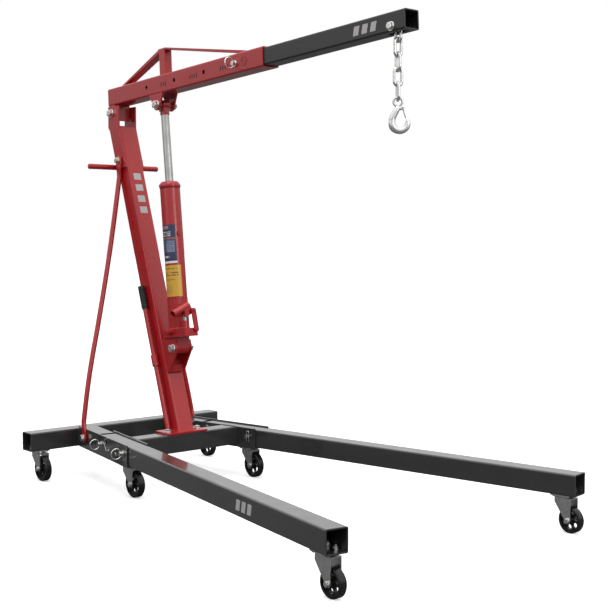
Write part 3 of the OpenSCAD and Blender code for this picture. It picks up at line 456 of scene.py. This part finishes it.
for where in ("rear", "middle", "front"):
    for side in ("near", "far"):
        low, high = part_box(f"{where}_{side}_wheel")
        at = (low + high) / 2
        bolts = Shape()
        shank(bolts, at, Y, 41, 4)
        through_bolt(bolts, at, Y, 37.1, 4, 13, 7.5)
        bolts.build(f"{where}_{side}_axle_bolt", ZINC, f"{where}_{side}_caster",
                    replaces=(f"{where}_{side}_axle",))


# --- Stays ----------------------------------------------------------------------------

def stay(sign):
    """A slightly bowed round bar that flattens into a rounded tab at each end."""
    leg = LEGS[sign]
    top = stay_top + Y * sign * (STAY_TOP_Y + 4) / 1000
    foot = leg.at(STAY_REACH, STAY_OUT + 4, stay_lift)
    lean = math.atan2(foot.x - top.x, top.z - foot.z)
    down = Vector((math.sin(lean), 0, -math.cos(lean)))
    up = -leg.axes[0] * math.sin(lean) + leg.axes[2] * math.cos(lean)
    shape = Shape()

    def ring(centre, across, through, half_w, half_t, power):
        out = []
        for i in range(32):
            a = 2 * math.pi * i / 32
            c, s = math.cos(a), math.sin(a)
            x = half_w * math.copysign(abs(c) ** power, c)
            y = half_t * math.copysign(abs(s) ** power, s)
            out.append(1000 * (centre + (across * x + through * y) / 1000))
        return out

    def end(eye, away, across, through):
        """Rings from the tab's rounded tip to the round bar."""
        out = []
        for k in range(7):
            a = math.radians(4 + 86 * k / 6)
            out.append(ring(eye - away * 0.017 * math.cos(a), across, through, 17 * math.sin(a),
                            TAB_HALF_T, 0.35))
        out.append(ring(eye + away * 0.012, across, through, TAB_HALF_W, TAB_HALF_T, 0.35))
        for k in range(1, 9):
            t = k / 8
            s = t * t * (3 - 2 * t)
            out.append(ring(eye + away * (0.012 + 0.046 * t), across, through,
                            TAB_HALF_W + (STAY_R - TAB_HALF_W) * s,
                            TAB_HALF_T + (STAY_R - TAB_HALF_T) * s, 0.35 + 0.65 * s))
        return out

    def bow(t):
        """Millimetres outwards along the bar: in below its top, out above its foot."""
        if t > 0.64:
            return 4.5 * math.sin(math.pi * min(1, (1 - t) / 0.36))
        return -5.0 * math.sin(math.pi * t / 0.64)

    out_top, out_foot = Y * sign, leg.axes[1]
    across_top, across_foot = out_top.cross(down), out_foot.cross(-up)
    rings = end(top, down, across_top, out_top)
    start, stop = top + down * 0.058, foot + up * 0.058
    run = (stop - start).normalized()
    for k in range(1, 32):
        t = k / 32
        centre = start.lerp(stop, t) + Y * sign * bow(t) / 1000
        across = across_top.lerp(across_foot, t).normalized()
        through = run.cross(across).normalized()
        if through.dot(out_top) < 0:
            through = -through
        rings.append(ring(centre, across, through, STAY_R, STAY_R, 1.0))
    rings += end(foot, up, across_foot, out_foot)[::-1]
    shape.rings(rings, Matrix.Identity(4))
    return shape


bars = Shape()
for sign in (-1, 1):
    bar = stay(sign)
    bars.faces += [[i + len(bars.verts) for i in face] for face in bar.faces]
    bars.verts += bar.verts
bars.build("stay_bars", RED, "base", 50, replaces=("stays",))


# --- Hook -----------------------------------------------------------------------------

low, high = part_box("hook")
latch_joint = JOINTS["latch_open"]
hook_n = Vector(latch_joint["axis"])
hook_x = hook_n.cross(Vector((0, 0, 1)))
latch_at = Vector(latch_joint["pos_m"])
HOOK = Place(latch_at - hook_x * 0.013 + Vector((0, 0, 0.018)), hook_x, hook_n, (0, 0, 1))


def arc(cx, cz, r, start, stop, count):
    return [(cx + r * math.cos(math.radians(start + (stop - start) * i / count)),
             cz + r * math.sin(math.radians(start + (stop - start) * i / count)))
            for i in range(count + 1)]


hook = Shape()
eye = [HOOK.at(x, 0, z) for x, z in arc(0, 0, 12, 0, 360, 40)[:-1]]
hook.sweep(eye, 3.0, 14, close=True)
line = [(1, -10.5), (0.5, -14), (-2, -20), (-6, -27), (-10.5, -35), (-14, -43), (-16, -49)]
line += arc(6, -56, 22, 166, 330, 30) + [(26.6, -62), (27.7, -58.5), (27.8, -54), (27.5, -50), (27.2, -46.2)]
size = [4.5, 6.8, 7.8, 8.4, 8.8, 9.1, 9.3]
size += [9.2 + 1.4 * math.sin(math.pi * min(1, i / 18)) ** 2 - 1.2 * max(0, i - 18) / 12 for i in range(31)]
size += [7.7, 7.2, 6.5, 5.4, 3.4]
hook.sweep([HOOK.at(x, 0, z) for x, z in line], size, 20)
for sign in (-1, 1):
    hook.lathe(facing(HOOK.at(13, 0, -18), hook_n * sign), [(4.6, 0), (4.6, 3), (4.1, 3.5)], 24)
hook.sweep([HOOK.at(3, 0, -17.5), HOOK.at(8, 0, -18), HOOK.at(13, 0, -18)], [5, 4.4, 3.4], 14)
ZINC_CAST = metal("zinc_cast", (0.80, 0.80, 0.80), rough=0.42, blotch=0.35, grain=260)
hook.build("forged_hook", ZINC_CAST, "hook", 60, replaces=("hook",))


# --- Latch, seals and plug -------------------------------------------------------------

latch = Shape()
for sign in (-1, 1):
    y = 5.2 * sign
    coil = [HOOK.at(13 + 3.4 * math.cos(t), y + sign * 0.9 * (t / 6.28 - 0.8), -18 + 3.4 * math.sin(t))
            for t in (2 * math.pi * 1.9 * i / 30 for i in range(31))]
    latch.sweep(coil, 0.9, 8)
    latch.sweep([HOOK.at(13 + 2.4, y, -19.6), HOOK.at(16.5, y, -28), HOOK.at(19.2, y * 0.8, -37),
                 HOOK.at(20.8, y * 0.5, -42.2), HOOK.at(21.3, 0, -43.2)], [1.2] * 5, 8)
latch.lathe(facing(HOOK.at(13, -5.9, -18), hook_n), [(2, 0), (2, 11.8)], 16)
latch.build("wire_latch", ZINC, "latch", 60, replaces=("latch",))

BARREL_R, GLAND = 34.5, 572
seal = Shape()
seal.lathe(RAM.matrix(0, 0, GLAND), [(14.2, -0.5), (18.5, -0.5), (18.2, 1.6), (16.2, 2.6), (14.3, 3.2)])
seal.build("rod_wiper_seal", RUBBER, "ram")
gland = Shape()
gland.lathe(RAM.matrix(), [(31.5, 552), (35.3, 552), (35.8, 553), (35.8, 562.5), (35.2, 564.5),
                           (32.5, 569.5), (29.2, 573), (28.5, 573.2), (18.8, 573.2), (18.6, 572.2)], 64)
for i in range(4):
    m = RAM.matrix() @ Matrix.Rotation(math.radians(90 * i + 62), 4, "Z")
    gland.sweep([m @ (Vector((r, 0, z)) / 1000) for r, z in ((35.6, 556), (35.9, 560), (34.6, 565))], 1.6, 10)
gland.build("gland_nut", RED, "ram")
# A thin dark red band painted as the shadow inside the groove under the gland nut; the groove itself is not
# cut.
groove = Shape()
groove.lathe(RAM.matrix(), [(34.6, 549.6), (34.9, 550), (34.9, 551.6), (34.6, 552)], 64, caps=False)
SHADOW = moulded("painted_groove_shadow", (0.035, 0.004, 0.004), 0.5)
groove.build("gland_groove", SHADOW, "ram")
plug = Shape()
m = facing(RAM.at(34, 0, 392), RAM.axes[0])
plug.lathe(m, [(7.8, 0), (7.8, 4.4), (7.2, 5.2), (4.9, 5.2), (4.5, 4.2), (0.5, 4.2)], 32)
plug.build("filler_plug", RUBBER, "ram")


# --- Welds ------------------------------------------------------------------------------

def weld_ring(shape, place, radius, z, start=0, stop=360, size=2.2, x=0, y=0):
    count = max(8, int(abs(stop - start) / 6))
    shape.weld([place.at(x + radius * math.cos(math.radians(start + (stop - start) * i / count)),
                         y + radius * math.sin(math.radians(start + (stop - start) * i / count)), z)
                for i in range(count + 1)], size)


mast_run = 69.68
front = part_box("mast")[1].x * 1000 - BASE.origin.x * 1000 - 13
z = foot_top * 1000
weld = Shape()
weld.weld([BASE.at(front - mast_run, -32, z), BASE.at(front, -32, z), BASE.at(front, 32, z),
           BASE.at(front - mast_run, 32, z), BASE.at(front - mast_run, -32, z)], 3.0)
for sign in (-1, 1):
    weld.weld([MAST.at(-4, sign * 32.6, 964), MAST.at(-62, sign * 32.6, 984)], 1.8)
    weld.weld([MAST.at(-41.5 + sign * 2.4, -33.4, 245), MAST.at(-41.5 + sign * 2.4, -33.4, 281)], 1.7)
    weld.weld([MAST.at(0.6, sign * 26, 236), MAST.at(0.6, sign * 26, 328)], 2.2)
    low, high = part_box("push_handle")
    bar_x = (low.x + high.x) / 2 + 0.008
    bar_z = low.z + 0.0025 + (0.014 if sign > 0 else 0)
    weld.weld([Vector((bar_x, -0.031, bar_z)), Vector((bar_x, 0.031, bar_z))], 2.0)
weld.build("mast_welds", RED, "base", 70)

weld = Shape()
POST_X, POST_HALF = 306, 17
BOOM_TOP, BOOM_UNDER, STRAP_Z = 90.5, 28, 91
for sign in (-1, 1):
    for x0, x1, y, z, bead in ((POST_X - POST_HALF, POST_X + POST_HALF, 16, BOOM_TOP, 2.2),
                               (33, 53, 15, STRAP_Z, 1.8), (762, 803, 15, STRAP_Z, 1.8),
                               (253, 325, 25, BOOM_UNDER, 2.4), (-20, 16, 25.6, BOOM_UNDER, 2.0)):
        weld.weld([BOOM.at(x0, sign * y, z), BOOM.at(x1, sign * y, z)], bead)
    x = POST_X + sign * POST_HALF
    weld.weld([BOOM.at(x, -16, BOOM_TOP), BOOM.at(x, 16, BOOM_TOP)], 2.2)
weld.weld([BOOM.at(18.5, -29, BOOM_UNDER), BOOM.at(18.5, 29, BOOM_UNDER)], 2.2)
weld.weld([BOOM.at(33, -15, STRAP_Z), BOOM.at(33, 15, STRAP_Z)], 2.0)
weld.build("boom_welds", RED, "boom", 70)

weld = Shape()
weld_ring(weld, RAM, 34.6, 67, size=2.6)
weld_ring(weld, RAM, 12.1, 67, size=1.8, x=69, y=-22)
for y in (-25.6, 25.6):
    weld.weld([RAM.at(-20, y, 37.6), RAM.at(20, y, 37.6)], 2.2)
weld.build("ram_welds", RED, "ram", 70)

weld = Shape()
splay = math.radians(10.1)
CROSSBAR_FACE, CHANNEL_TOP, CHANNEL_LOW = 33, 170, 110
SLEEVE_X0, SLEEVE_X1 = 72.8, 137.8
for side in (-1, 1):
    leg = LEGS[side]
    y = [side * (170 + 32 * math.tan(splay) + half / math.cos(splay)) for half in (-31, 35, 37)]
    weld.weld([BASE.at(CROSSBAR_FACE, y[k], CHANNEL_TOP + 0.5) for k in (0, 1)], 2.6)
    weld.weld([BASE.at(CROSSBAR_FACE, y[2], z) for z in (CHANNEL_LOW, CHANNEL_TOP)], 2.4)
    weld.weld([leg.at(SLEEVE_X0, -36.8, 29.6), leg.at(SLEEVE_X1, -36.8, 29.6)], 2.2)
    for x in (SLEEVE_X1, SLEEVE_X0):
        weld.weld([leg.at(x, -37, -33), leg.at(x, -37, 28)], 2.4)
    weld.weld([leg.at(-150, 32.2, 26.4), leg.at(-52, 32.2, 26.4)], 1.6)
weld.build("frame_welds", GREY, "base", 70)


# --- Labels and marks ---------------------------------------------------------------------

def sheet(name, point_at, material, body, across=24):
    """A thin adhesive sheet. point_at(u, v) gives a world point for u, v in 0..1."""
    shape = Shape()
    verts = [1000 * point_at(i / across, j / 8) for j in range(9) for i in range(across + 1)]
    faces = [[j * (across + 1) + i, j * (across + 1) + i + 1, (j + 1) * (across + 1) + i + 1,
              (j + 1) * (across + 1) + i] for j in range(8) for i in range(across)]
    shape.add(verts, faces, Matrix.Identity(4))
    obj = shape.build(name, material, body, 60)
    layer = obj.data.uv_layers.new(name="UVMap")
    for loop in obj.data.loops:
        k = loop.vertex_index
        layer.data[loop.index].uv = ((k % (across + 1)) / across, (k // (across + 1)) / 8)
    return obj


class Print(Nodes):
    """Flat printed areas on a sheet, placed by its 0..1 coordinates."""

    def __init__(self, name):
        super().__init__(name)
        uv = self.new("TexCoord").outputs["UV"]
        split = self.new("SeparateXYZ")
        self.put(uv, split.inputs[0])
        self.u, self.v = split.outputs["X"], split.outputs["Y"]

    def box(self, u0, u1, v0, v1):
        inside = 1.0
        for value, low, high in ((self.u, u0, u1), (self.v, v0, v1)):
            inside = self.math("MULTIPLY", inside, self.math("GREATER_THAN", value, low))
            inside = self.math("MULTIPLY", inside, self.math("LESS_THAN", value, high))
        return inside

    def lines(self, u0, u1, v0, v1, rows, words=26):
        """Rows of short dashes that read as small print without being letters."""
        row = self.math("MULTIPLY", self.math("SUBTRACT", self.v, v0), rows / (v1 - v0))
        band = self.math("LESS_THAN", self.math("FRACT", row), 0.5)
        mix = self.new("CombineXYZ")
        self.put(self.math("MULTIPLY", self.u, words), mix.inputs[0])
        self.put(self.math("MULTIPLY", self.math("FLOOR", row), 3.7), mix.inputs[1])
        dash = self.math("GREATER_THAN", self.noise(1.0, 1, 0.5, mix.outputs[0]), 0.44)
        return self.math("MULTIPLY", self.math("MULTIPLY", band, dash), self.box(u0, u1, v0, v1))

    def finish(self, color, rough=0.35):
        scuff = self.ramp(self.noise(220, 4, 0.65), 0.60, 0.70, 0, 0.22)
        color = self.mix(scuff, color, (0.55, 0.52, 0.50))
        normal = self.bump(self.noise(160, 3), 0.06, 0.0004)
        return self.set(color=color, rough=self.ramp(self.noise(30), 0.3, 0.7, rough - 0.05, rough + 0.1),
                        coat=0.4, coat_rough=0.2, normal=normal)


def barrel_sheet(name, z0, z1, a0, a1, material):
    r = BARREL_R + 0.25
    sheet(name, lambda u, v: RAM.at(r * math.cos(math.radians(a0 + (a1 - a0) * u)),
                                    r * math.sin(math.radians(a0 + (a1 - a0) * u)), z0 + (z1 - z0) * v),
          material, "ram")


n = Print("blue_label")
navy, white, rust = (0.020, 0.026, 0.085), (0.62, 0.62, 0.66), (0.45, 0.10, 0.09)
color = n.mix(n.box(0, 1, 0.0, 0.055), navy, (0.80, 0.80, 0.80))
color = n.mix(n.lines(0.12, 0.55, 0.14, 0.24, 1, 9), color, white)
color = n.mix(n.box(0.38, 0.93, 0.28, 0.60), color, (0.10, 0.12, 0.22))
color = n.mix(n.lines(0.42, 0.90, 0.30, 0.58, 6, 22), color, (0.30, 0.32, 0.42))
color = n.mix(n.lines(0.08, 0.34, 0.30, 0.60, 5, 16), color, (0.16, 0.18, 0.28))
color = n.mix(n.box(0, 1, 0.625, 0.66), color, rust)
color = n.mix(n.lines(0.10, 0.72, 0.70, 0.84, 3, 14), color, white)
color = n.mix(n.box(0.10, 0.60, 0.885, 0.965), color, (0.42, 0.16, 0.18))
BLUE = n.finish(color, 0.3)
n = Print("yellow_label")
color = n.mix(n.lines(0.08, 0.55, 0.10, 0.38, 5, 30), (0.66, 0.37, 0.025), (0.42, 0.22, 0.03))
color = n.mix(n.lines(0.08, 0.70, 0.52, 0.60, 1, 16), color, (0.35, 0.17, 0.03))
color = n.mix(n.lines(0.08, 0.86, 0.66, 0.82, 2, 14), color, (0.16, 0.08, 0.02))
color = n.mix(n.lines(0.08, 0.80, 0.88, 0.94, 1, 9), color, (0.14, 0.07, 0.02))
YELLOW = n.finish(color)
barrel_sheet("barrel_label_blue", 291, 424, -124, -20, BLUE)
barrel_sheet("barrel_label_yellow", 177, 284, -124, 0, YELLOW)


PALE = moulded("pale_print", (0.50, 0.48, 0.48), 0.4)
# Dark red for the boom's tick bars and for its raised hexagon outline.
DARK_MARKS = moulded("dark_mark_red", (0.05, 0.006, 0.008), 0.45)


def bar(shape, at, u, v, width, height, lean=0.0):
    """A thin printed bar with rounded corners. at(u, v) gives a point on the surface."""
    ring = []
    for cu, cv, start in ((1, 1, 0), (-1, 1, 90), (-1, -1, 180), (1, -1, 270)):
        for k in range(4):
            a = math.radians(start + 30 * k)
            y = cv * (height / 2 - 2) + 2 * math.sin(a)
            ring.append((u + cu * (width / 2 - 2) + 2 * math.cos(a) + lean * y, v + y))
    shape.rings([[1000 * at(a, b, lift) for a, b in ring] for lift in (0.05, 0.22)], Matrix.Identity(4))


marks = Shape()
for k in range(4):
    bar(marks, lambda u, v, lift: MAST.at(lift, u, v), 0, 804 + 42 * k, 30, 25)
marks.build("mast_marks", PALE, "base")
marks = Shape()
for k in range(3):
    bar(marks, lambda u, v, lift: BOOM.at(u, -27.5 - lift, v), 1290 + 34 * k, 59, 22, 26, 0.25)
marks.build("jib_marks", PALE, "jib")
marks = Shape()
for k in range(3):
    bar(marks, lambda u, v, lift: LEGS[-1].at(u, 32 + lift, v), 1000 + 32 * k, -6, 22, 30, 0.2)
marks.build("leg_marks", PALE, "near_leg")

PIN_X, PIN_Z, JIB_STEP, BOOM_SIDE = 739, 59.5, 170, -31.5
marks = Shape()
for hole in range(3):
    for k in range(4 - hole // 2):
        bar(marks, lambda u, v, lift: BOOM.at(u, BOOM_SIDE - lift, v),
            PIN_X - JIB_STEP * hole - 78 + 13 * k, 56, 5, 15)
# A thin raised hexagon outline beside the pin, drawn as a dark red line.
outline = [BOOM.at(PIN_X + 45 + 15 * math.cos(math.radians(60 * k)), BOOM_SIDE - 0.2,
                   PIN_Z + 15 * math.sin(math.radians(60 * k))) for k in range(6)]
for a, b in zip(outline, outline[1:] + outline[:1]):
    marks.sweep([a, a.lerp(b, 0.5), b], 0.6, 8)
marks.build("boom_marks", DARK_MARKS, "boom")


# --- Lanyards and end caps ------------------------------------------------------------------

PIN_GAP = 197
lanyards = Shape()
for side in (-1, 1):
    for x, way in ((0, 1), (PIN_GAP, -1)):
        path = [(8, 41, 2), (14, 43, 9), (24, 41.5, 11), (33, 38.6, 5), (40, 37.6, -6), (47, 37.6, -14),
                (56, 37.6, -17), (63, 37.6, -14)]
        lanyards.sweep([LEGS[side].at(x + way * a, b, c) for a, b, c in path], 0.7, 8)
        m = facing(LEGS[side].at(x + way * 66, 36.5, -12), LEGS[side].axes[1])
        lanyards.lathe(m, [(4.2, 0), (4.2, 0.8), (3.4, 1.8), (1.6, 2.2)], 24)
lanyards.build("pin_lanyards", PRESSED, "base", 60)

low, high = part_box("push_handle")
caps = Shape()
for sign in (-1, 1):
    at = Vector(((low.x + high.x) / 2, sign * high.y, (low.z + high.z) / 2))
    caps.lathe(facing(at, Y * sign), [(9.4, -1), (9.7, 0), (9.3, 1.2), (8, 2.2), (5, 2.8)], 36)
caps.build("handle_end_caps", RED, "base")


# --- Stage, light and camera ---------------------------------------------------------

floor = bpy.data.objects.new("floor", bpy.data.meshes.new("floor"))
size = 40
floor.data.from_pydata([(-size, -size, 0), (size, -size, 0), (size, size, 0), (-size, size, 0)],
                       [], [(0, 1, 2, 3)])
scene.collection.objects.link(floor)
n = Nodes("pale_floor")
seen = n.new("LightPath").outputs["Is Camera Ray"]
pale = n.mix(n.ramp(n.noise(3, 2), 0.3, 0.7), (0.93, 0.93, 0.93), (0.95, 0.95, 0.95))
n.set(color=n.mix(seen, (0.14, 0.14, 0.14), pale), rough=0.9, specular=0.1)
n.bsdf.inputs["Emission Color"].default_value = (1, 1, 1, 1)
n.put(n.math("MULTIPLY", seen, 0.42), n.bsdf.inputs["Emission Strength"])
floor.data.materials.append(n.mat)

world = bpy.data.worlds.new("studio")
scene.world = world
world.use_nodes = True
tree = world.node_tree
background = tree.nodes["Background"]
coord = tree.nodes.new("ShaderNodeTexCoord")
split = tree.nodes.new("ShaderNodeSeparateXYZ")
tree.links.new(coord.outputs["Generated"], split.inputs[0])
ramp = tree.nodes.new("ShaderNodeValToRGB")
ends = ramp.color_ramp.elements
ends[0].color, ends[1].color = (0.03, 0.03, 0.03, 1), (1.0, 1.0, 1.0, 1)
for place, value in ((0.04, 0.08), (0.10, 0.62), (0.20, 0.85), (0.45, 0.95)):
    step = ramp.color_ramp.elements.new(place)
    step.color = (value, value, value, 1)
tree.links.new(split.outputs["Z"], ramp.inputs[0])
seen = tree.nodes.new("ShaderNodeLightPath")
blend = tree.nodes.new("ShaderNodeMix")
blend.data_type = "RGBA"
tree.links.new(seen.outputs["Is Camera Ray"], blend.inputs[0])
tree.links.new(ramp.outputs[0], blend.inputs[6])
blend.inputs[7].default_value = (1, 1, 1, 1)
tree.links.new(blend.outputs[2], background.inputs[0])
background.inputs[1].default_value = 1.0


def softbox(name, where, look_at, width, height, power):
    light = bpy.data.lights.new(name, "AREA")
    light.shape = "RECTANGLE"
    light.size, light.size_y, light.energy = width, height, power
    obj = bpy.data.objects.new(name, light)
    obj.location = where
    obj.rotation_euler = (Vector(look_at) - Vector(where)).to_track_quat("-Z", "Y").to_euler()
    scene.collection.objects.link(obj)


softbox("top_light", (0.4, -0.3, 4.0), (0, 0, 0.6), 3.2, 2.6, 60)
softbox("front_light", (4.6, 0.4, 2.0), (0, 0, 0.9), 1.8, 2.4, 34)
softbox("near_light", (-0.6, -4.4, 1.9), (0, 0, 0.9), 2.6, 1.6, 8)

lens_axis = 49.365
pitch = 3.44
camera = bpy.data.cameras.new("camera")
camera.sensor_width = 36
camera.lens = 68.05
camera.shift_x, camera.shift_y = -0.0006, 0.0019
cam = bpy.data.objects.new("camera", camera)
cam.location = (2.8044, -2.2416, 0.8508)
a, e = math.radians(lens_axis), math.radians(pitch)
look = Vector((-math.sin(a) * math.cos(e), math.cos(a) * math.cos(e), -math.sin(e)))
cam.rotation_euler = look.to_track_quat("-Z", "Y").to_euler()
scene.collection.objects.link(cam)
scene.camera = cam
scene.view_settings.view_transform = "Standard"
